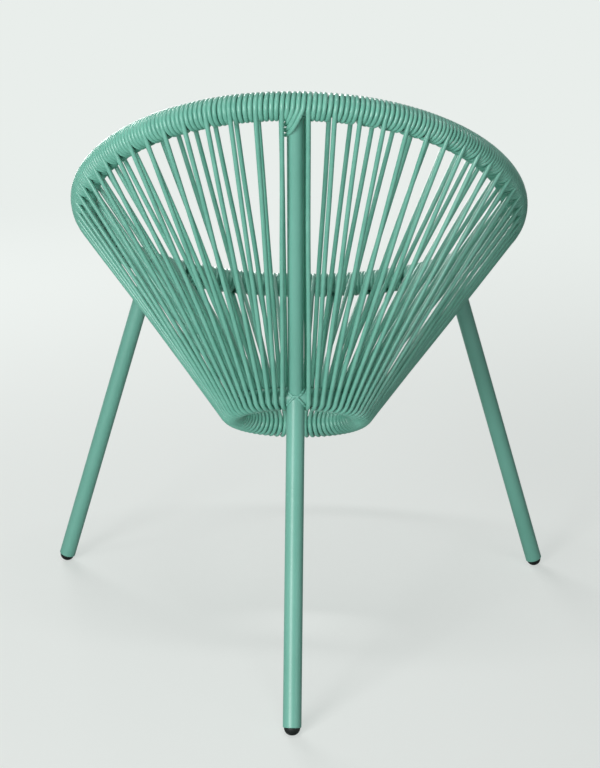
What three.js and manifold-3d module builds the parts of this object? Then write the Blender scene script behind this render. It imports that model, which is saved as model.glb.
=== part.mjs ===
// Three-legged string chair: a tilted egg-shaped rim hoop and a small seat ring of steel tube, joined
// by one back strut, on three straight legs. PVC cord is wound round the rim and runs down to the
// seat ring and back in two layers, which makes the bucket.
// Millimetres, +Z up. The sitter faces -Y, and the sitter's left is +X.
import * as THREE from 'three';
import { mergeVertices } from 'three/addons/utils/BufferGeometryUtils.js';
import Module from 'manifold-3d';

const wasm = await Module();
wasm.setup();

// Driving dimensions. Setbacks are measured along Y from the middle of the rim hoop.
const fitGap = 0.3;

const tubeDiameter = 22;
const tubeWall = 1.2;
const strutDiameter = 19;
const strutWall = 1.2;

const rimHalfWidth = 266.5;
const rimHalfLength = 300.5;
const rimEggShare = 0.081;
const rimCornerPower = 2.08;
const rimTilt = THREE.MathUtils.degToRad(34.2);
const rimHeight = 563;

const ringRadius = 79.5;
const ringTilt = THREE.MathUtils.degToRad(31.2);
const ringHeight = 326;
const ringSetback = 93;

const rearFootSetback = 315;
const frontFootSetback = -202;
const frontFootSpread = 331;
const frontLegShare = 0.375;

const copeTrimShare = 0.3;

const plugDomeHeight = 8.5;
const plugStemLength = 18;
const plugPadDepth = 0.6;
const plugRibDepth = 0.5;

const cordDiameter = 5.5;
const strandPairs = 64;
const panelCount = 16;
const ribsPerStrand = 2;
const ribDepthShare = 0.4;

// Facets
const rimSteps = 48;
const ringSteps = 40;
const hoopSides = 12;
const barSides = 16;
const windingSides = 6;
const cordSides = 4;
const turnSteps = 3;

// Derived sizes
const tubeRadius = tubeDiameter / 2;
const strutRadius = strutDiameter / 2;
const cordRadius = cordDiameter / 2;
const boreRadius = tubeRadius + fitGap;
const windingRadius = tubeRadius + cordDiameter;
const strandRadius = boreRadius + cordRadius;
const copeTrim = copeTrimShare * tubeRadius;
const stationsPerPanel = strandPairs / panelCount;

const steelPaint = { color: 0x74b3a1, roughness: 0.42, metalness: 0.1 };
const pvcCord = { color: 0x72b29f, roughness: 0.35, metalness: 0 };
const blackPlug = { color: 0x10201d, roughness: 0.6, metalness: 0 };

const vector = (x, y, z) => new THREE.Vector3(x, y, z);

// The rim's centreline is an ellipse with slightly full corners, narrower at the back than in front,
// in a plane that rises towards the back. Share 0 is the middle of the back.
class RimCurve extends THREE.Curve {
  getPoint(share, target = vector(0, 0, 0)) {
    const angle = 2 * Math.PI * share;
    const fullness = (value) => Math.sign(value) * Math.abs(value) ** (2 / rimCornerPower);
    const across = rimHalfWidth * fullness(Math.sin(angle)) * (1 - rimEggShare * Math.cos(angle));
    const along = rimHalfLength * fullness(Math.cos(angle));
    const rise = along * Math.sin(rimTilt);
    return target.set(across, along * Math.cos(rimTilt), rimHeight + rise);
  }
}

const rimCurve = new RimCurve();
rimCurve.arcLengthDivisions = 12 * strandPairs;
const rimPitch = rimCurve.getLength() / strandPairs;
const rimUp = vector(0, -Math.sin(rimTilt), Math.cos(rimTilt));
const ringUp = vector(0, -Math.sin(ringTilt), Math.cos(ringTilt));

// A place on a hoop: its point, its direction of travel and the outward normal in the hoop's plane.
function place(point, travel, up) {
  return { point, travel, outward: vector(0, 0, 0).crossVectors(up, travel).normalize() };
}

// Stations count strand pitches round the rim from the middle of the back.
function rimPlace(station) {
  const share = THREE.MathUtils.euclideanModulo(station / strandPairs, 1);
  return place(rimCurve.getPointAt(share), rimCurve.getTangentAt(share), rimUp);
}

function ringPlace(arc) {
  const angle = arc / ringRadius;
  const along = vector(0, Math.cos(ringTilt), Math.sin(ringTilt));
  const spoke = vector(Math.sin(angle), 0, 0).addScaledVector(along, Math.cos(angle));
  const travel = vector(Math.cos(angle), 0, 0).addScaledVector(along, -Math.sin(angle));
  const point = vector(0, ringSetback, ringHeight).addScaledVector(spoke, ringRadius);
  return place(point, travel, ringUp);
}

function solid(geometry) {
  const bare = new THREE.BufferGeometry();
  bare.setAttribute('position', geometry.getAttribute('position'));
  bare.setIndex(geometry.getIndex());
  const merged = mergeVertices(bare, 1e-4);
  return new wasm.Manifold(new wasm.Mesh({
    numProp: 3,
    vertProperties: new Float32Array(merged.getAttribute('position').array),
    triVerts: new Uint32Array(merged.getIndex().array),
  }));
}

function geometryOf(manifold) {
  const { vertProperties, triVerts } = manifold.getMesh();
  const geometry = new THREE.BufferGeometry();
  geometry.setAttribute('position', new THREE.BufferAttribute(vertProperties, 3));
  geometry.setIndex(new THREE.BufferAttribute(triVerts, 1));
  geometry.computeVertexNormals();
  return geometry;
}

function part(name, manifold, finish) {
  const mesh = new THREE.Mesh(geometryOf(manifold), new THREE.MeshStandardMaterial(finish));
  mesh.name = name;
  return mesh;
}

// A polygon round a centre: its first corner is turned from the normal by the given share of a
// side, and the corners go round the direction of travel.
function polygon(centre, normal, travel, radius, sides, turnShare = 0) {
  const across = vector(0, 0, 0).crossVectors(travel, normal).normalize();
  return Array.from({ length: sides }, (_, corner) => {
    const angle = (2 * Math.PI * (corner + turnShare)) / sides;
    return centre.clone()
      .addScaledVector(normal, radius * Math.cos(angle))
      .addScaledVector(across, radius * Math.sin(angle));
  });
}

const rimTube = (radius, sides) => (
  solid(new THREE.TubeGeometry(rimCurve, rimSteps, radius, sides, true))
);

function ringTube(radius) {
  const torus = new THREE.TorusGeometry(ringRadius, radius, hoopSides, ringSteps);
  torus.rotateX(ringTilt);
  torus.translate(0, ringSetback, ringHeight);
  return solid(torus);
}

// A straight round bar or, with an inner radius, a tube, from one point to another.
function bar(from, to, radius, innerRadius = 0) {
  const section = new THREE.Shape();
  section.absarc(0, 0, radius, 0, 2 * Math.PI);
  if (innerRadius > 0) {
    const hole = new THREE.Path();
    hole.absarc(0, 0, innerRadius, 0, 2 * Math.PI, true);
    section.holes.push(hole);
  }
  const axis = vector(0, 0, 0).subVectors(to, from);
  const geometry = new THREE.ExtrudeGeometry(section, {
    depth: axis.length(),
    bevelEnabled: false,
    curveSegments: barSides / 2,
  });
  const turn = new THREE.Quaternion().setFromUnitVectors(vector(0, 0, 1), axis.normalize());
  geometry.applyQuaternion(turn);
  geometry.translate(...from);
  return solid(geometry);
}

// Feet: a domed plug whose dome is worn to a small flat pad where it meets the floor. The leg's axis
// passes through the dome's centre.
const plugRimRadius = tubeRadius - plugRibDepth;
const domeRadius = (plugRimRadius ** 2 + plugDomeHeight ** 2) / (2 * plugDomeHeight);
const domeCentreHeight = domeRadius - plugPadDepth;

function footPlug(foot, top) {
  const stemRadius = tubeRadius - tubeWall - fitGap;
  const shoulder = domeRadius - plugDomeHeight;
  const flangeTop = -shoulder + plugRibDepth;
  const profile = [new THREE.Vector2(0, -domeRadius)];
  const domeAngle = Math.asin(Math.min(1, plugRimRadius / domeRadius));
  const domeSteps = 5;
  for (let step = 1; step <= domeSteps; step += 1) {
    const angle = (domeAngle * step) / domeSteps;
    profile.push(new THREE.Vector2(domeRadius * Math.sin(angle), -domeRadius * Math.cos(angle)));
  }
  profile.push(new THREE.Vector2(plugRimRadius, flangeTop));
  profile.push(new THREE.Vector2(stemRadius, flangeTop));
  profile.push(new THREE.Vector2(stemRadius, flangeTop + plugStemLength - plugRibDepth));
  profile.push(new THREE.Vector2(stemRadius - plugRibDepth, flangeTop + plugStemLength));
  profile.push(new THREE.Vector2(0, flangeTop + plugStemLength));
  const geometry = new THREE.LatheGeometry(profile, barSides);
  geometry.rotateX(Math.PI / 2);
  const axis = vector(0, 0, 0).subVectors(top, foot).normalize();
  geometry.applyQuaternion(new THREE.Quaternion().setFromUnitVectors(vector(0, 0, 1), axis));
  geometry.translate(...foot);
  const floorSize = 2 * tubeDiameter;
  const floor = new THREE.BoxGeometry(floorSize, floorSize, floorSize);
  floor.translate(foot.x, foot.y, -floorSize / 2);
  return solid(geometry).subtract(solid(floor));
}

// A leg is open tube, coped to what carries it, and ends at the plug's flange.
function leg(top, foot, ...copes) {
  const axis = vector(0, 0, 0).subVectors(top, foot).normalize();
  const flangeTop = -(domeRadius - plugDomeHeight) + plugRibDepth;
  const end = foot.clone().addScaledVector(axis, flangeTop + fitGap);
  const start = top.clone().addScaledVector(axis, -copeTrim);
  const tube = bar(end, start, tubeRadius, tubeRadius - tubeWall);
  return copes.reduce((body, cope) => body.subtract(cope), tube);
}

const rimBack = rimPlace(0).point;
const ringBack = ringPlace(0).point;
const frontLegTop = (side) => {
  const { point } = rimPlace(frontLegShare * strandPairs);
  return vector(side * point.x, point.y, point.z);
};
const frontFoot = (side) => vector(side * frontFootSpread, frontFootSetback, domeCentreHeight);
const rearFoot = vector(0, rearFootSetback, domeCentreHeight);

const rimCut = rimTube(boreRadius, hoopSides);
const ringCut = ringTube(boreRadius);
const strutCut = bar(ringBack, rimBack, strutRadius + fitGap);

function backStrut() {
  const axis = vector(0, 0, 0).subVectors(rimBack, ringBack).normalize();
  const lower = ringBack.clone().addScaledVector(axis, copeTrim);
  const upper = rimBack.clone().addScaledVector(axis, -copeTrim);
  const tube = bar(lower, upper, strutRadius, strutRadius - strutWall);
  return tube.subtract(rimCut).subtract(ringCut);
}

// Cord stations keep clear of a post that crosses the winding.
function besidePost(station) {
  const clear = (tubeRadius + cordRadius + fitGap) / rimPitch;
  const posts = [frontLegShare * strandPairs, (1 - frontLegShare) * strandPairs];
  const near = posts.find((post) => Math.abs(station - post) < clear);
  return near === undefined ? station : near + Math.sign(station - near) * clear;
}

const ringPostGap = tubeRadius + cordRadius + fitGap;
const ringSpan = 2 * Math.PI * ringRadius - 2 * ringPostGap;
const ringArc = (pair) => ringPostGap + (ringSpan * pair) / (strandPairs - 1);

// The direction square to a strand, in the plane across the hoop, on the hoop's outer side.
function outerSide({ travel, outward }, strand) {
  const side = vector(0, 0, 0).crossVectors(travel, strand).normalize();
  return side.multiplyScalar(Math.sign(side.dot(outward)) || 1);
}

// Where the cord of one station leaves the rim: the hoop there, the strand's way down to the seat
// ring, and the directions square to it on the outside of the bucket.
function hanging(station) {
  const rim = rimPlace(station);
  const ring = ringPlace(ringArc(station - 0.5));
  const down = vector(0, 0, 0).subVectors(ring.point, rim.point).normalize();
  return { rim, ring, down, outside: outerSide(rim, down) };
}

// The faces between two rows of corners, given by their numbers.
const band = (lower, upper) => lower.flatMap((corner, here) => {
  const next = (here + 1) % lower.length;
  return [corner, lower[next], upper[next], corner, upper[next], upper[here]];
});

function facetedSolid(points, indices) {
  const geometry = new THREE.BufferGeometry().setFromPoints(points);
  geometry.setIndex(indices);
  return solid(geometry);
}

// The bore of the winding, which follows the rim hoop's own straight facets.
function windingBore() {
  const points = [];
  const indices = [];
  const row = (step) => (
    Array.from({ length: windingSides }, (_, side) => (step % rimSteps) * windingSides + side)
  );
  const radius = boreRadius / Math.cos(Math.PI / windingSides);
  for (let step = 0; step < rimSteps; step += 1) {
    const { rim, outside } = hanging((step * strandPairs) / rimSteps);
    points.push(...polygon(rim.point, outside, rim.travel, radius, windingSides));
    indices.push(...band(row(step), row(step + 1)));
  }
  return facetedSolid(points, indices);
}

// What the winding leaves room for: the rim hoop, the strut and the legs.
const cordCuts = [
  windingBore(),
  strutCut,
  bar(rearFoot, ringBack, tubeRadius + fitGap),
  bar(frontFoot(1), frontLegTop(1), tubeRadius + fitGap),
  bar(frontFoot(-1), frontLegTop(-1), tubeRadius + fitGap),
];

// A cord's section is a square of the round cord's own area.
const cordHalfSide = (cordRadius * Math.sqrt(Math.PI)) / 2;

function cordSection(centre, normal, travel) {
  return polygon(centre, normal, travel, cordHalfSide * Math.SQRT2, cordSides, 0.5);
}

// One strand pair, as a row of cord sections: down the outside of the bucket, round under the seat
// ring and up the inside.
function strandPair(pair) {
  const { ring, down, outside } = hanging(pair + 0.5);
  const rimDown = rimPlace(besidePost(pair + 0.5));
  const rimUp = rimPlace(pair + 1);
  const up = vector(0, 0, 0).subVectors(rimUp.point, ring.point).normalize();
  const inside = outerSide(rimUp, up).negate();
  const start = rimDown.point.clone().addScaledVector(outside, strandRadius);
  const end = rimUp.point.clone().addScaledVector(inside, strandRadius);
  const sections = [cordSection(start.addScaledVector(down, windingRadius), outside, down)];
  const side = outerSide(ring, down);
  const under = down.clone().addScaledVector(ring.travel, -down.dot(ring.travel)).normalize();
  const turnRadius = (boreRadius + cordHalfSide) / Math.cos(Math.PI / turnSteps / 2);
  for (let step = 0; step <= turnSteps; step += 1) {
    const angle = (Math.PI * step) / turnSteps;
    const normal = vector(0, 0, 0)
      .addScaledVector(side, Math.cos(angle))
      .addScaledVector(under, Math.sin(angle));
    const travel = vector(0, 0, 0)
      .addScaledVector(side, -Math.sin(angle))
      .addScaledVector(under, Math.cos(angle));
    sections.push(cordSection(ring.point.clone().addScaledVector(normal, turnRadius), normal, travel));
  }
  sections.push(cordSection(end.addScaledVector(up, -windingRadius), inside, up));
  return sections;
}

// One panel of the web. The winding on its stretch of the rim is a sleeve whose ribs are turns of
// cord, and each strand pair grows out of one face of the sleeve's outer side and back into one
// face of its inner side.
function webPanel(index) {
  const rowsPerStation = 2 * ribsPerStrand;
  const firstStation = index * stationsPerPanel + 0.5 / rowsPerStation;
  const rows = rowsPerStation * stationsPerPanel;
  const endGap = fitGap / 2 / rimPitch;
  const lastStation = firstStation + stationsPerPanel;
  const points = [];
  const indices = [];
  for (let row = 0; row <= rows; row += 1) {
    const station = THREE.MathUtils.mapLinear(
      row, 0, rows, firstStation + endGap, lastStation - endGap,
    );
    const { rim, outside } = hanging(station);
    const radius = row % 2 === 0 ? windingRadius - ribDepthShare * cordDiameter : windingRadius;
    points.push(...polygon(rim.point, outside, rim.travel, radius, windingSides));
  }
  const corner = (row, side) => row * windingSides + (side % windingSides);
  const roots = new Set();
  const outerFace = windingSides - 1;
  const innerFace = windingSides / 2;
  for (let strand = 0; strand < stationsPerPanel; strand += 1) {
    const outerRow = strand * rowsPerStation + ribsPerStrand - 1;
    const innerRow = (strand + 1) * rowsPerStation - 1;
    roots.add(corner(outerRow, outerFace));
    roots.add(corner(innerRow, innerFace));
    let below = [
      corner(outerRow + 1, outerFace + 1), corner(outerRow + 1, outerFace),
      corner(outerRow, outerFace), corner(outerRow, outerFace + 1),
    ];
    strandPair(index * stationsPerPanel + strand).forEach((section) => {
      const here = section.map((_, vertex) => points.length + vertex);
      points.push(...section);
      indices.push(...band(below, here));
      below = here;
    });
    indices.push(...band(below, [
      corner(innerRow + 1, innerFace), corner(innerRow + 1, innerFace + 1),
      corner(innerRow, innerFace + 1), corner(innerRow, innerFace),
    ]));
  }
  for (let row = 0; row < rows; row += 1) {
    for (let side = 0; side < windingSides; side += 1) {
      const [a, b] = [corner(row, side), corner(row, side + 1)];
      const [c, d] = [corner(row + 1, side + 1), corner(row + 1, side)];
      if (!roots.has(a)) indices.push(a, b, c, a, c, d);
    }
  }
  for (let side = 1; side + 1 < windingSides; side += 1) {
    indices.push(corner(0, 0), corner(0, side + 1), corner(0, side));
    indices.push(corner(rows, 0), corner(rows, side), corner(rows, side + 1));
  }
  return cordCuts.reduce((body, cut) => body.subtract(cut), facetedSolid(points, indices));
}

const frame = new THREE.Group();
frame.add(part('rim_hoop', rimTube(tubeRadius, hoopSides), steelPaint));
frame.add(part('seat_ring', ringTube(tubeRadius), steelPaint));
frame.add(part('back_strut', backStrut(), steelPaint));
frame.add(part('rear_leg', leg(ringBack, rearFoot, ringCut, strutCut), steelPaint));
frame.add(part('front_leg_left', leg(frontLegTop(1), frontFoot(1), rimCut), steelPaint));
frame.add(part('front_leg_right', leg(frontLegTop(-1), frontFoot(-1), rimCut), steelPaint));

const feet = new THREE.Group();
feet.add(part('foot_plug_rear', footPlug(rearFoot, ringBack), blackPlug));
feet.add(part('foot_plug_left', footPlug(frontFoot(1), frontLegTop(1)), blackPlug));
feet.add(part('foot_plug_right', footPlug(frontFoot(-1), frontLegTop(-1)), blackPlug));

const web = new THREE.Group();
for (let index = 0; index < panelCount; index += 1) {
  web.add(part(`cord_panel_${String(index + 1).padStart(2, '0')}`, webPanel(index), pvcCord));
}

// The chair stands on Z = 0 with its overall box centred on the origin.
const chair = new THREE.Group();
chair.add(frame, feet, web);
const middle = new THREE.Box3().setFromObject(chair).getCenter(vector(0, 0, 0));
chair.position.set(-middle.x, -middle.y, 0);

export default chair;
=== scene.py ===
import math

import bmesh
import bpy
import numpy as np
from mathutils import Matrix, Vector


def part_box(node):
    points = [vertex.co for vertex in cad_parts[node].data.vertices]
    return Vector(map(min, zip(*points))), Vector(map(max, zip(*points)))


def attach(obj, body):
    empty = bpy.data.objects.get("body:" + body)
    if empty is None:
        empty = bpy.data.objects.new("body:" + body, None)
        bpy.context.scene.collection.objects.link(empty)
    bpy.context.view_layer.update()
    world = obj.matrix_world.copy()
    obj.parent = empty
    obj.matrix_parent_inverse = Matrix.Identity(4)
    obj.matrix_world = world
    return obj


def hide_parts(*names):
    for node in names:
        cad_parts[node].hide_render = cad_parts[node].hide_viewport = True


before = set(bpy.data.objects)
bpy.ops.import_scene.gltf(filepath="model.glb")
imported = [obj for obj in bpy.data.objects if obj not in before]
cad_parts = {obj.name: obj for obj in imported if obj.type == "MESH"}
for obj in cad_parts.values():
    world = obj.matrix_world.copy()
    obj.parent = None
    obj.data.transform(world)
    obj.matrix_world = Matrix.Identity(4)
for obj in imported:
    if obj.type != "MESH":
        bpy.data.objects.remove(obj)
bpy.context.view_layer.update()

# The studio: a pale floor that fades into a pale surround, and a long lens that looks down on the
# back of the chair from standing height. The key is a softbox beside the camera on its left, over
# a broad low fill, with a weak light on the right, an overhead strip and a softbox for the front.
scene = bpy.context.scene
scene.view_settings.view_transform = "Standard"


def linear(hex_colour):
    channels = [int(hex_colour[start:start + 2], 16) / 255 for start in (1, 3, 5)]
    return [c / 12.92 if c <= 0.04045 else ((c + 0.055) / 1.055) ** 2.4 for c in channels] + [1.0]


def add_node(tree, kind, inputs=None, **settings):
    node = tree.nodes.new(kind)
    for name, value in settings.items():
        setattr(node, name, value)
    for name, value in (inputs or {}).items():
        if isinstance(value, bpy.types.NodeSocket):
            tree.links.new(value, node.inputs[name])
        else:
            node.inputs[name].default_value = value
    return node


def look_along(place, direction):
    return Matrix.Translation(place) @ direction.to_track_quat("-Z", "Y").to_matrix().to_4x4()


camera_place = Vector((-0.0434, 2.4007, 1.1195))
camera_pitch = math.radians(17.965)
camera_yaw = math.radians(-0.97)
camera_roll = math.radians(0.24)
camera_data = bpy.data.cameras.new("camera")
camera_data.sensor_width = 36
camera_data.lens = 93.9
camera = bpy.data.objects.new("camera", camera_data)
camera.matrix_world = look_along(camera_place, Vector((
    -math.sin(camera_yaw) * math.cos(camera_pitch),
    -math.cos(camera_yaw) * math.cos(camera_pitch),
    -math.sin(camera_pitch),
))) @ Matrix.Rotation(camera_roll, 4, "Z")
scene.collection.objects.link(camera)
scene.camera = camera

chair_middle = Vector((0, 0, 0.42))
softboxes = {
    "key": ((1.5, 2.6, 1.35), 0.9, 1.0, 42),
    "fill": ((1.1, 2.8, 0.5), 1.6, 0.5, 34),
    "side": ((-2.1, 2.4, 0.5), 0.8, 0.9, 7),
    "overhead": ((0.1, 0.7, 2.9), 1.2, 0.16, 18),
    "front": ((1.3, -2.8, 1.1), 1.6, 1.6, 68),
}
for name, (place, width, height, power) in softboxes.items():
    light = bpy.data.lights.new(name, "AREA")
    light.shape = "RECTANGLE"
    light.size = width
    light.size_y = height
    light.energy = power
    lamp = bpy.data.objects.new(name, light)
    lamp.matrix_world = look_along(Vector(place), chair_middle - Vector(place))
    scene.collection.objects.link(lamp)

surround = bpy.data.worlds.new("surround")
surround.use_nodes = True
surround.node_tree.nodes.clear()
rays = add_node(surround.node_tree, "ShaderNodeLightPath")
seen_rays = add_node(surround.node_tree, "ShaderNodeMath", {
    0: rays.outputs["Is Camera Ray"], 1: rays.outputs["Is Glossy Ray"],
}, operation="MAXIMUM")
ambient = add_node(surround.node_tree, "ShaderNodeBackground", {
    "Color": linear("#eef3f1"), "Strength": 0.05,
})
pale = add_node(surround.node_tree, "ShaderNodeBackground", {
    "Color": linear("#e9eeeb"), "Strength": 1.0,
})
surround_mix = add_node(surround.node_tree, "ShaderNodeMixShader", {
    0: seen_rays.outputs[0], 1: ambient.outputs[0], 2: pale.outputs[0],
})
add_node(surround.node_tree, "ShaderNodeOutputWorld", {"Surface": surround_mix.outputs[0]})
scene.world = surround

# Matt studio paper: nearly white where the camera sees it, so that only the shadow shows on it,
# and fading into the surround with distance. To all other rays it is a light grey, which throws
# a little light up under the chair.
paper = bpy.data.materials.new("studio_paper")
paper.use_nodes = True
tree = paper.node_tree
tree.nodes.clear()
rays = add_node(tree, "ShaderNodeLightPath")
paper_colour = add_node(tree, "ShaderNodeMix", {
    "Factor": rays.outputs["Is Camera Ray"], "A": linear("#b8bdba"), "B": linear("#f0f2f0"),
}, data_type="RGBA")
paper_surface = add_node(tree, "ShaderNodeBsdfPrincipled", {
    "Base Color": paper_colour.outputs["Result"], "Roughness": 0.9, "Specular IOR Level": 0.1,
})
paper_place = add_node(tree, "ShaderNodeTexCoord")
distance = add_node(tree, "ShaderNodeVectorMath", {
    0: paper_place.outputs["Object"],
}, operation="LENGTH")
fade = add_node(tree, "ShaderNodeMapRange", {
    "Value": distance.outputs["Value"], "From Min": 0.4, "From Max": 2.6, "To Min": 0.6,
}, interpolation_type="SMOOTHSTEP")
seen_fade = add_node(tree, "ShaderNodeMath", {
    0: fade.outputs["Result"], 1: rays.outputs["Is Camera Ray"],
}, operation="MULTIPLY")
paper_glow = add_node(tree, "ShaderNodeEmission", {"Color": linear("#e9eeeb"), "Strength": 1.0})
paper_mix = add_node(tree, "ShaderNodeMixShader", {
    0: seen_fade.outputs[0], 1: paper_surface.outputs[0], 2: paper_glow.outputs[0],
})
add_node(tree, "ShaderNodeOutputMaterial", {"Surface": paper_mix.outputs[0]})

shaping = bmesh.new()
bmesh.ops.create_grid(shaping, x_segments=1, y_segments=1, size=14)
floor_mesh = bpy.data.meshes.new("floor")
shaping.to_mesh(floor_mesh)
shaping.free()
floor_mesh.materials.append(paper)
floor = bpy.data.objects.new("floor", floor_mesh)
scene.collection.objects.link(floor)

# The rim: one egg-shaped hoop of 22 mm steel tube, bent, butt-welded and powder-coated. It lies in
# a plane that rises towards the back, and the cord wound on it hides all but slits of it. Places on
# it are told in stations, one for each of the 64 pairs of strands, from the back round by the left.
tube_radius = 0.011
tube_wall = 0.0012
pairs = 64
rim_low, rim_high = (Vector(corner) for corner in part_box("rim_hoop"))
rim_middle = Vector((0, (rim_low.y + rim_high.y) / 2, 0.563))
rim_half_width = 0.2665
rim_half_length = 0.3005
rim_egg = 0.081
rim_power = 2.08
rim_tilt = math.radians(34.2)

around = np.linspace(0, 2 * math.pi, 3073)
across = np.sign(np.sin(around)) * np.abs(np.sin(around)) ** (2 / rim_power)
along = np.sign(np.cos(around)) * np.abs(np.cos(around)) ** (2 / rim_power)
rim_line = np.stack([
    rim_half_width * across * (1 - rim_egg * np.cos(around)),
    rim_middle.y + rim_half_length * along * math.cos(rim_tilt),
    rim_middle.z + rim_half_length * along * math.sin(rim_tilt),
], axis=1)
rim_run = np.concatenate([[0], np.cumsum(np.linalg.norm(np.diff(rim_line, axis=0), axis=1))])

# Powder coat: polyester baked on steel, satin, with a faint orange peel. The peel is really about
# 1 mm across and is drawn at 3 mm so that it shows.
powder_coat = bpy.data.materials.new("satin_powder_coat")
powder_coat.use_nodes = True
tree = powder_coat.node_tree
tree.nodes.clear()
place = add_node(tree, "ShaderNodeTexCoord")
drift = add_node(tree, "ShaderNodeTexNoise", {
    "Vector": place.outputs["Object"], "Scale": 9.0, "Detail": 3.0, "Roughness": 0.5,
})
coat_colour = add_node(tree, "ShaderNodeValToRGB", {"Fac": drift.outputs["Fac"]})
coat_colour.color_ramp.elements[0].position = 0.3
coat_colour.color_ramp.elements[0].color = linear("#6aa998")
coat_colour.color_ramp.elements[1].position = 0.7
coat_colour.color_ramp.elements[1].color = linear("#72b0a0")
peel = add_node(tree, "ShaderNodeTexNoise", {
    "Vector": place.outputs["Object"], "Scale": 330.0, "Detail": 2.0, "Roughness": 0.4,
})
peel_bump = add_node(tree, "ShaderNodeBump", {
    "Height": peel.outputs["Fac"], "Strength": 0.12, "Distance": 0.0004,
})
coat_gloss = add_node(tree, "ShaderNodeMapRange", {
    "Value": peel.outputs["Fac"], "To Min": 0.32, "To Max": 0.41,
})
coat_surface = add_node(tree, "ShaderNodeBsdfPrincipled", {
    "Base Color": coat_colour.outputs["Color"], "Roughness": coat_gloss.outputs["Result"],
    "Normal": peel_bump.outputs["Normal"], "IOR": 1.5,
})
add_node(tree, "ShaderNodeOutputMaterial", {"Surface": coat_surface.outputs[0]})

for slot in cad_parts["rim_hoop"].material_slots:
    slot.material = powder_coat


def keep(name, shaping, material, nodes):
    """A finished mesh becomes a piece of the chair that stands for its CAD nodes."""
    for face in shaping.faces:
        face.smooth = True
    mesh = bpy.data.meshes.new(name)
    shaping.to_mesh(mesh)
    shaping.free()
    mesh.materials.append(material)
    piece = bpy.data.objects.new(name, mesh)
    scene.collection.objects.link(piece)
    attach(piece, "root")
    if nodes:
        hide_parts(*nodes)


# The seat ring: a small closed hoop of the same tube at the bottom of the bucket, tilted a little
# less than the rim. It is bent round, butt-welded and powder-coated, and the cord turns under it.
ring_low, ring_high = (Vector(corner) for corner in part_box("seat_ring"))
ring_middle = (ring_low + ring_high) / 2
ring_radius = 0.0795
ring_tilt = math.radians(31.2)
ring_pose = Matrix.Translation(ring_middle) @ Matrix.Rotation(ring_tilt, 4, "X")

shaping = bmesh.new()
section = bmesh.ops.create_circle(
    shaping, segments=24, radius=tube_radius,
    matrix=Matrix.Translation((ring_radius, 0, 0)) @ Matrix.Rotation(math.pi / 2, 4, "X"),
)
bmesh.ops.spin(
    shaping, geom=shaping.verts[:] + shaping.edges[:], cent=(0, 0, 0), axis=(0, 0, 1),
    angle=2 * math.pi, steps=96, use_merge=True,
)
bmesh.ops.remove_doubles(shaping, verts=shaping.verts, dist=1e-6)
bmesh.ops.recalc_face_normals(shaping, faces=shaping.faces)
bmesh.ops.transform(shaping, matrix=ring_pose, verts=shaping.verts)
keep("seat_ring_tube", shaping, powder_coat, ["seat_ring"])

ring_angle = np.linspace(0, 2 * math.pi, 1025)
ring_line = np.array([
    ring_pose @ Vector((ring_radius * math.sin(a), ring_radius * math.cos(a), 0))
    for a in ring_angle
])

# The straight tubes: the thinner strut that holds the rim's back up, the rear leg under the seat
# ring and two front legs under the rim. Each is cut to a saddle that fits its hoop and is welded
# all round. The rear leg's saddle shows as the rounded top of the leg.
strut_radius = 0.0095
tube_sides = 48
fit_gap = 0.0003
cut_edge = 0.95
plug_dome_height = 0.0085
plug_rim_radius = tube_radius - 0.0005
plug_wear = 0.0006
shoulder_height = 0.0005
dome_radius = (plug_rim_radius ** 2 + plug_dome_height ** 2) / (2 * plug_dome_height)
dome_centre_height = dome_radius - plug_wear
shoulder_top = -(dome_radius - plug_dome_height) + shoulder_height


def rim_place(station):
    """A point on the rim's line and the line's direction there."""
    run = (station / pairs) % 1 * rim_run[-1]
    point, before, after = (
        Vector([np.interp(distance % rim_run[-1], rim_run, rim_line[:, i]) for i in range(3)])
        for distance in (run, run - 1e-3, run + 1e-3)
    )
    return point, (after - before).normalized()


def on_hoop(point, axis, hoop_line, reach):
    """Slides a point along an axis up to where it meets the hoop's skin."""
    low, high = -3 * tube_radius, 0.0
    for _ in range(24):
        middle = (low + high) / 2
        spot = np.array(point + axis * middle)
        if np.linalg.norm(hoop_line - spot, axis=1).min() > reach:
            low = middle
        else:
            high = middle
    return point + axis * low


def saddle(centre, axis, radius, hoop_line, reach, sides):
    """The closed line in which a round tube meets a hoop."""
    turn = axis.to_track_quat("Z", "Y").to_matrix()
    return [
        on_hoop(
            centre + turn @ Vector((
                radius * math.cos(2 * math.pi * side / sides),
                radius * math.sin(2 * math.pi * side / sides), 0,
            )), axis, hoop_line, reach,
        )
        for side in range(sides)
    ]


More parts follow.
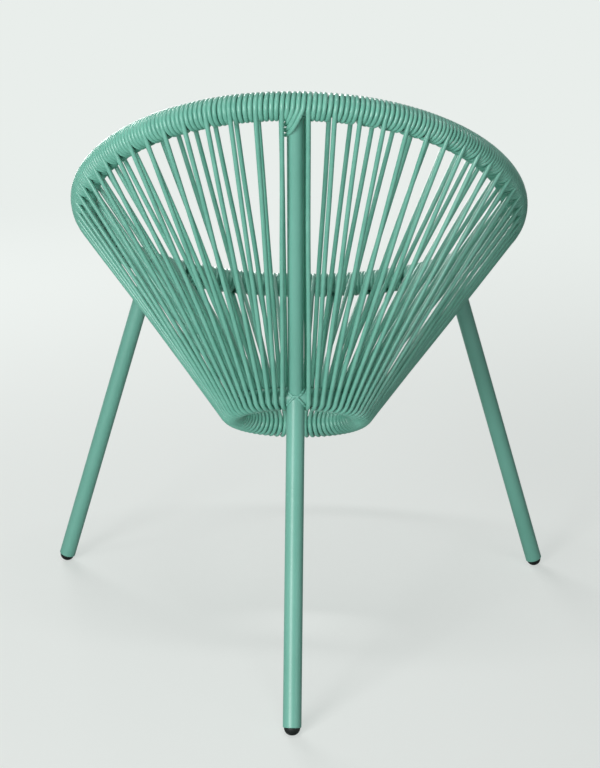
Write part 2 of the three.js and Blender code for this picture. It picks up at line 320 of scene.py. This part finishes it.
def welded_tube(name, foot, top, radius, ends, nodes):
    """A round tube from foot to top; ends gives the hoop that each end is cut to, or None."""
    axis = (top - foot).normalized()
    turn = axis.to_track_quat("Z", "Y").to_matrix().to_4x4()
    shaping = bmesh.new()
    bmesh.ops.create_circle(
        shaping, segments=tube_sides, radius=radius, matrix=Matrix.Translation(foot) @ turn,
    )
    lower_loop = shaping.verts[:]
    for share in (0.0015, 0.0385, 0.92, 0.04):
        open_edges = [edge for edge in shaping.edges if edge.is_boundary or edge.is_wire]
        grown = bmesh.ops.extrude_edge_only(shaping, edges=open_edges[-tube_sides:])
        upper_loop = [item for item in grown["geom"] if isinstance(item, bmesh.types.BMVert)]
        bmesh.ops.translate(shaping, verts=upper_loop, vec=(top - foot) * share)
    for loop, hoop_line, way in ((lower_loop, ends[0], -axis), (upper_loop, ends[1], axis)):
        if hoop_line is None:
            bmesh.ops.scale(
                shaping, verts=loop, vec=(cut_edge, cut_edge, 1),
                space=(Matrix.Translation(foot) @ turn).inverted(),
            )
            continue
        for vert in loop:
            vert.co = on_hoop(vert.co, way, hoop_line, tube_radius)
    bmesh.ops.holes_fill(shaping, edges=[edge for edge in shaping.edges if edge.is_boundary])
    bmesh.ops.recalc_face_normals(shaping, faces=shaping.faces)
    for edge in shaping.edges:
        edge.smooth = edge.calc_face_angle() < math.radians(35)
    keep(name, shaping, powder_coat, nodes)


rim_back = rim_place(0)[0]
ring_back = Vector(ring_line[0])
leg_station = 24
front_top = {1: rim_place(leg_station)[0], -1: rim_place(pairs - leg_station)[0]}
front_foot = {
    side: Vector((side * 0.331, rim_middle.y - 0.202, dome_centre_height)) for side in (1, -1)
}
rear_foot = Vector((0, rim_middle.y + 0.315, dome_centre_height))


def tube_end(foot, top):
    return foot + (top - foot).normalized() * (shoulder_top + fit_gap)


welded_tube(
    "back_strut_tube", ring_back, rim_back, strut_radius, (ring_line, rim_line), ["back_strut"],
)
welded_tube(
    "rear_leg_tube", tube_end(rear_foot, ring_back), ring_back, tube_radius,
    (None, ring_line), ["rear_leg"],
)
for side, name in ((1, "left"), (-1, "right")):
    welded_tube(
        f"front_leg_{name}_tube", tube_end(front_foot[side], front_top[side]), front_top[side],
        tube_radius, (None, rim_line), [f"front_leg_{name}"],
    )

# The weld beads: each tube is welded to its hoop all round, and the bead's small ripples stay
# visible under the powder coat.
bead_radius = 0.0016
bead_steps = 64
ripple_height = 0.16
welds = {
    "weld_strut_rim": (rim_back, (rim_back - ring_back).normalized(), strut_radius, rim_line),
    "weld_strut_ring": (ring_back, (ring_back - rim_back).normalized(), strut_radius, ring_line),
    "weld_rear_leg": (ring_back, (ring_back - rear_foot).normalized(), tube_radius, ring_line),
    "weld_front_leg_left": (
        front_top[1], (front_top[1] - front_foot[1]).normalized(), tube_radius, rim_line,
    ),
    "weld_front_leg_right": (
        front_top[-1], (front_top[-1] - front_foot[-1]).normalized(), tube_radius, rim_line,
    ),
}


def cord_mesh(name, paths, radius, sides_share, radii=None, closed=False):
    """Round cord, or bead, along each path of points, as a mesh."""
    curve = bpy.data.curves.new(name, "CURVE")
    curve.dimensions = "3D"
    curve.bevel_depth = radius
    curve.bevel_resolution = sides_share
    curve.use_fill_caps = True
    for path in paths:
        spline = curve.splines.new("POLY")
        spline.points.add(len(path) - 1)
        spline.points.foreach_set("co", [value for point in path for value in (*point, 1.0)])
        if radii is not None:
            spline.points.foreach_set("radius", radii)
        spline.use_cyclic_u = closed
    drawn = bpy.data.objects.new(name, curve)
    mesh = bpy.data.meshes.new_from_object(drawn)
    bpy.data.objects.remove(drawn)
    bpy.data.curves.remove(curve)
    mesh.name = name
    shaping = bmesh.new()
    shaping.from_mesh(mesh)
    bpy.data.meshes.remove(mesh)
    for edge in shaping.edges:
        edge.smooth = edge.calc_face_angle(math.pi) < math.radians(60)
    return shaping


for name, (centre, axis, radius, hoop_line) in welds.items():
    sunk = bead_radius / 3
    seam = saddle(centre, axis, radius + sunk, hoop_line, tube_radius + sunk, bead_steps)
    ripples = [1.0 + ripple_height * math.sin(2 * math.pi * step / 4) for step in range(bead_steps)]
    shaping = cord_mesh(name, [seam], bead_radius, 2, radii=ripples, closed=True)
    keep(name, shaping, powder_coat, [])

# The cord: one length of 5.5 mm solid PVC cord, wound round the rim five passes to a strand pitch.
# Every fifth pass runs down the outside of the bucket, round under the seat ring and up the inside
# again. It is strung taut, and slight waves from the coil that it came on stay in it.
cord_radius = 0.00275
lay_radius = tube_radius + cord_radius + 0.00005
passes = 5
turn_steps = 24
wave_height = 0.0003
drift_share = 0.012
post_gap = tube_radius + cord_radius + fit_gap
ring_span = 2 * math.pi * ring_radius - 2 * post_gap
rim_pitch = rim_run[-1] / pairs
chance = np.random.default_rng(64)
strand_waves = chance.normal(0.0, 1.0, (pairs, 2, 2, 3))
lay_drift = chance.normal(0.0, 1.0, pairs * passes)


def ring_place(station):
    """Where the strand of a rim station turns on the seat ring: its point and way of travel."""
    centred = (station + pairs / 2) % pairs - pairs / 2
    if abs(centred) < 0.5:
        arc = centred * 2 * post_gap
    else:
        arc = post_gap + ring_span * ((station - 0.5) % pairs) / (pairs - 1)
    angle = arc / ring_radius
    point = ring_pose @ Vector((ring_radius * math.sin(angle), ring_radius * math.cos(angle), 0))
    travel = ring_pose.to_3x3() @ Vector((math.cos(angle), -math.sin(angle), 0))
    return point, travel


def hoop_sides(point, travel, strand, middle):
    """The directions out of the bucket and on along the strand, both square to the hoop."""
    outside = travel.cross(strand).normalized()
    if outside.dot(point - middle) < 0:
        outside.negate()
    return outside, (strand - travel * strand.dot(travel)).normalized()


def winding_frame(station):
    point, travel = rim_place(station)
    strand = (ring_place(station)[0] - point).normalized()
    return point, *hoop_sides(point, travel, strand, rim_middle)


def on_rim(station, angle, radius):
    point, outside, down = winding_frame(station)
    return point + (outside * math.cos(angle) + down * math.sin(angle)) * radius


def post_pose(station, foot):
    """The post's angle in a winding turn, and its lean along the rim for each metre down."""
    point, outside, down = winding_frame(station)
    way = foot - point
    across = math.hypot(way.dot(down), way.dot(outside))
    return math.atan2(way.dot(down), way.dot(outside)), way.dot(rim_place(station)[1]) / across


# Where a post is welded under the rim, the passes above it part and go down beside it, one below
# the other: at the thin strut all on one side, at the front legs three on each side. A post is its
# station, angle, lean and radius, then each pass's side of it and depth below the rim's line.
leg_passes = ((-1, -1, -1, 1, 1, 1), (0.0139, 0.0195, 0.025, 0.025, 0.0195, 0.0139))
posts = {
    63: (64, *post_pose(0, ring_back), strut_radius, (1, 1, 1, 1), (0.0333, 0.027, 0.0205, 0.014)),
    23: (24, *post_pose(24, front_foot[1]), tube_radius, *leg_passes),
    39: (40, *post_pose(40, front_foot[-1]), tube_radius, *leg_passes),
}

# The front legs and the passes beside them push the nearest strands aside by these shares of the
# pitch, and the push dies out over six pairs.
push_reach = 6
pushes = {(23, -1): 0.1, (24, 1): 0.333, (39, -1): 0.333, (40, 1): 0.1}
edges = [
    pair + 0.5 + sum(
        way * push * max(0.0, 1 - (pair - nearest) * way / push_reach)
        for (nearest, way), push in pushes.items() if (pair - nearest) * way >= 0
    )
    for pair in range(pairs + 1)
]


def turns_of(pair):
    """The passes from one outer strand to the next, one more than stand between the two."""
    return len(posts[pair][-1]) + 1 if pair in posts else passes


def station_at(pair, turn):
    station = edges[pair] + (edges[pair + 1] - edges[pair]) * turn / turns_of(pair)
    spot = station * passes
    drifts = [lay_drift[(int(spot) + n) % len(lay_drift)] for n in (0, 1)]
    return station + drift_share * np.interp(spot % 1, (0, 1), drifts)


def post_key(pair, key):
    """One of a turn's eight places that a pass goes through: along the rim, out and down."""
    station, towards, slant, radius, sides, depths = posts[pair]
    number, eighth = divmod(key, 8)
    angle = math.pi / 4 * eighth
    aside = (station_at(pair, key / 8 + towards / (2 * math.pi) - 0.25) - station) * rim_pitch
    if eighth > 5:
        number += 1
    if not 1 <= number <= len(sides):
        return Vector((aside, lay_radius * math.cos(angle), lay_radius * math.sin(angle)))
    depth = depths[number - 1]
    gap = radius + cord_radius + fit_gap
    beside = slant * depth + sides[number - 1] * gap * math.hypot(1, slant)
    if eighth == 2:
        return Vector((beside, 0, depth))
    lead = {0: 0.05, 1: 0.05, 3: 0.05, 4: 0.05, 5: 0.01, 7: 0.01}
    aside += lead.get(eighth, 0) * (beside - aside)
    if eighth in (1, 3):
        down = max(0.66 * depth, 0.71 * lay_radius)
        aside += 0.5 * (beside - aside)
        from_post = (aside - slant * down) / math.hypot(1, slant)
        out = math.sqrt(max(gap ** 2 - from_post ** 2, lay_radius ** 2 - down ** 2, 0))
        return Vector((aside, math.copysign(out, 2 - eighth), down))
    return Vector((aside, lay_radius * math.cos(angle), lay_radius * math.sin(angle)))


def winding_point(pair, turn):
    """The cord's middle after so many turns since the outer strand of that pair."""
    if pair in posts:
        station, towards, *_, depths = posts[pair]
        key = 8 * (turn - towards / (2 * math.pi) + 0.25)
        if 6 <= key <= 8 * len(depths) + 6:
            first = math.floor(key)
            before, here, after, beyond = (post_key(pair, first + n) for n in (-1, 0, 1, 2))
            share = key - first
            aside, out, deep = here + (
                (after - before) * share
                + (2 * before - 5 * here + 4 * after - beyond) * share ** 2
                + (3 * here - before - 3 * after + beyond) * share ** 3
            ) / 2
            return on_rim(
                station + aside / rim_pitch,
                towards - math.pi / 2 + math.atan2(deep, out), math.hypot(out, deep),
            )
    return on_rim(station_at(pair, turn), 2 * math.pi * turn, lay_radius)


def strand(pair):
    """Down the outside, half round under the ring, and up the inside."""
    start = winding_point(pair, 0)
    end = winding_point(pair, 0.5)
    ring_point, travel = ring_place(pair + 0.5)
    side, under = hoop_sides(ring_point, travel, (ring_point - start).normalized(), ring_middle)
    turn = [
        ring_point + (side * math.cos(a) + under * math.sin(a)) * lay_radius
        for a in np.linspace(0, math.pi, 11)
    ]
    path = []
    for way, (first, last) in enumerate(((start, turn[0]), (turn[-1], end))):
        for share in np.linspace(0, 1, 15)[1:-1] if way else np.linspace(0, 1, 15)[:-1]:
            fade = math.sin(math.pi * share)
            waves = [
                wave_height * fade * sum(
                    strand_waves[pair % pairs, way, axis, n] * math.sin((n + 1) * math.pi * share)
                    for n in range(3)
                )
                for axis in range(2)
            ]
            path.append(first.lerp(last, share) + travel * waves[0] + side * waves[1])
        if not way:
            path += turn
    return path


def winding(pair, first, last):
    steps = round((last - first) * turn_steps * (2 if pair in posts else 1))
    return [winding_point(pair, first + (last - first) * step / steps) for step in range(steps)]


# PVC cord: extruded, dyed through, smooth and fairly glossy, with faint mottling in its colour and
# fine lines along it from the die. The lines are really some 0.3 mm apart and are drawn at 1.6 mm,
# eleven round the cord, so that they show. A wave's bands come 10 / pi to a unit, and V is one unit
# round the cord.
die_line_count = 11
pvc = bpy.data.materials.new("extruded_pvc_cord")
pvc.use_nodes = True
tree = pvc.node_tree
tree.nodes.clear()
place = add_node(tree, "ShaderNodeTexCoord")
mottle = add_node(tree, "ShaderNodeTexNoise", {
    "Vector": place.outputs["Object"], "Scale": 42.0, "Detail": 3.0, "Roughness": 0.6,
})
cord_colour = add_node(tree, "ShaderNodeValToRGB", {"Fac": mottle.outputs["Fac"]})
cord_colour.color_ramp.elements[0].position = 0.28
cord_colour.color_ramp.elements[0].color = linear("#66ab98")
cord_colour.color_ramp.elements[1].position = 0.72
cord_colour.color_ramp.elements[1].color = linear("#76b8a5")
grain = add_node(tree, "ShaderNodeTexNoise", {
    "Vector": place.outputs["Object"], "Scale": 420.0, "Detail": 2.0, "Roughness": 0.5,
})
die_lines = add_node(tree, "ShaderNodeTexWave", {
    "Vector": place.outputs["UV"], "Scale": die_line_count * math.pi / 10,
}, wave_type="BANDS", bands_direction="Y", wave_profile="SIN")
line_bump = add_node(tree, "ShaderNodeBump", {
    "Height": die_lines.outputs["Fac"], "Strength": 0.1, "Distance": 0.0003,
})
grain_bump = add_node(tree, "ShaderNodeBump", {
    "Height": grain.outputs["Fac"], "Strength": 0.1, "Distance": 0.0003,
    "Normal": line_bump.outputs["Normal"],
})
cord_gloss = add_node(tree, "ShaderNodeMapRange", {
    "Value": mottle.outputs["Fac"], "To Min": 0.24, "To Max": 0.38,
})
cord_surface = add_node(tree, "ShaderNodeBsdfPrincipled", {
    "Base Color": cord_colour.outputs["Color"], "Roughness": cord_gloss.outputs["Result"],
    "Normal": grain_bump.outputs["Normal"], "IOR": 1.53,
})
add_node(tree, "ShaderNodeOutputMaterial", {"Surface": cord_surface.outputs[0]})

# The cord is drawn in sixteen stretches. Each runs two steps into the next inside the bucket, and
# both ends taper there, so that they lie within one another and the cord shows no joint. The last
# point of a run of winding is left out, so that two steps of overlap take a run of three.
joint_turn = 3.5
joint_steps = 3
tapered = 0.9
panel_pairs = 4
for panel in range(pairs // panel_pairs):
    first = panel_pairs * panel
    path = winding((first - 1) % pairs, joint_turn, turns_of((first - 1) % pairs))
    final = first + panel_pairs - 1
    for pair in range(first, final + 1):
        path += strand(pair)
        path += winding(
            pair, 0.5,
            turns_of(pair) if pair < final else joint_turn + joint_steps / turn_steps,
        )
    widths = [tapered] + [1.0] * (len(path) - 2) + [tapered]
    shaping = cord_mesh(f"web_{panel + 1:02d}", [path], cord_radius, 4, radii=widths)
    keep(f"web_{panel + 1:02d}", shaping, pvc, [f"cord_panel_{panel + 1:02d}"])

# The foot plugs: injection-moulded black plastic, pushed into the open ends of the legs, with a
# short stem and a dome a little narrower than the tube, worn flat where it stands.
black_plastic = bpy.data.materials.new("moulded_black_polyethylene")
black_plastic.use_nodes = True
tree = black_plastic.node_tree
tree.nodes.clear()
place = add_node(tree, "ShaderNodeTexCoord")
scuff = add_node(tree, "ShaderNodeTexNoise", {
    "Vector": place.outputs["Object"], "Scale": 160.0, "Detail": 4.0, "Roughness": 0.6,
})
plug_colour = add_node(tree, "ShaderNodeValToRGB", {"Fac": scuff.outputs["Fac"]})
plug_colour.color_ramp.elements[0].position = 0.35
plug_colour.color_ramp.elements[0].color = linear("#0a100f")
plug_colour.color_ramp.elements[1].position = 0.8
plug_colour.color_ramp.elements[1].color = linear("#131a18")
plug_bump = add_node(tree, "ShaderNodeBump", {
    "Height": scuff.outputs["Fac"], "Strength": 0.2, "Distance": 0.0003,
})
plug_surface = add_node(tree, "ShaderNodeBsdfPrincipled", {
    "Base Color": plug_colour.outputs["Color"], "Roughness": 0.52,
    "Normal": plug_bump.outputs["Normal"], "IOR": 1.5, "Specular IOR Level": 0.35,
})
add_node(tree, "ShaderNodeOutputMaterial", {"Surface": plug_surface.outputs[0]})

stem_radius = tube_radius - tube_wall - fit_gap
stem_bottom = shoulder_top + fit_gap
stem_length = 0.0177
stem_chamfer = 0.0005
dome_steps = 12
dome_fullness = 0.92
dome_angles = [math.pi / 2 * step / dome_steps for step in range(dome_steps + 1)]
plug_profile = [
    (
        (stem_radius + 0.0002) * math.sin(angle) ** dome_fullness,
        -dome_radius + (dome_radius + stem_bottom) * (1 - math.cos(angle)),
    )
    for angle in dome_angles
]
plug_profile += [
    (stem_radius, stem_bottom + 0.0003),
    (stem_radius, stem_bottom + stem_length - stem_chamfer),
    (stem_radius - stem_chamfer, stem_bottom + stem_length), (0.0, stem_bottom + stem_length),
]


def foot_plug(name, foot, top, node):
    shaping = bmesh.new()
    line = [shaping.verts.new((radius, 0, height)) for radius, height in plug_profile]
    for lower, upper in zip(line, line[1:]):
        shaping.edges.new((lower, upper))
    bmesh.ops.spin(
        shaping, geom=shaping.verts[:] + shaping.edges[:], cent=(0, 0, 0), axis=(0, 0, 1),
        angle=2 * math.pi, steps=48, use_merge=True,
    )
    bmesh.ops.remove_doubles(shaping, verts=shaping.verts, dist=1e-6)
    bmesh.ops.recalc_face_normals(shaping, faces=shaping.faces)
    turn = (top - foot).normalized().to_track_quat("Z", "Y").to_matrix().to_4x4()
    bmesh.ops.transform(shaping, matrix=Matrix.Translation(foot) @ turn, verts=shaping.verts)
    for vert in shaping.verts:
        vert.co.z = max(vert.co.z, 0.0)
    keep(name, shaping, black_plastic, [node])


foot_plug("plug_rear", rear_foot, ring_back, "foot_plug_rear")
foot_plug("plug_left", front_foot[1], front_top[1], "foot_plug_left")
foot_plug("plug_right", front_foot[-1], front_top[-1], "foot_plug_right")
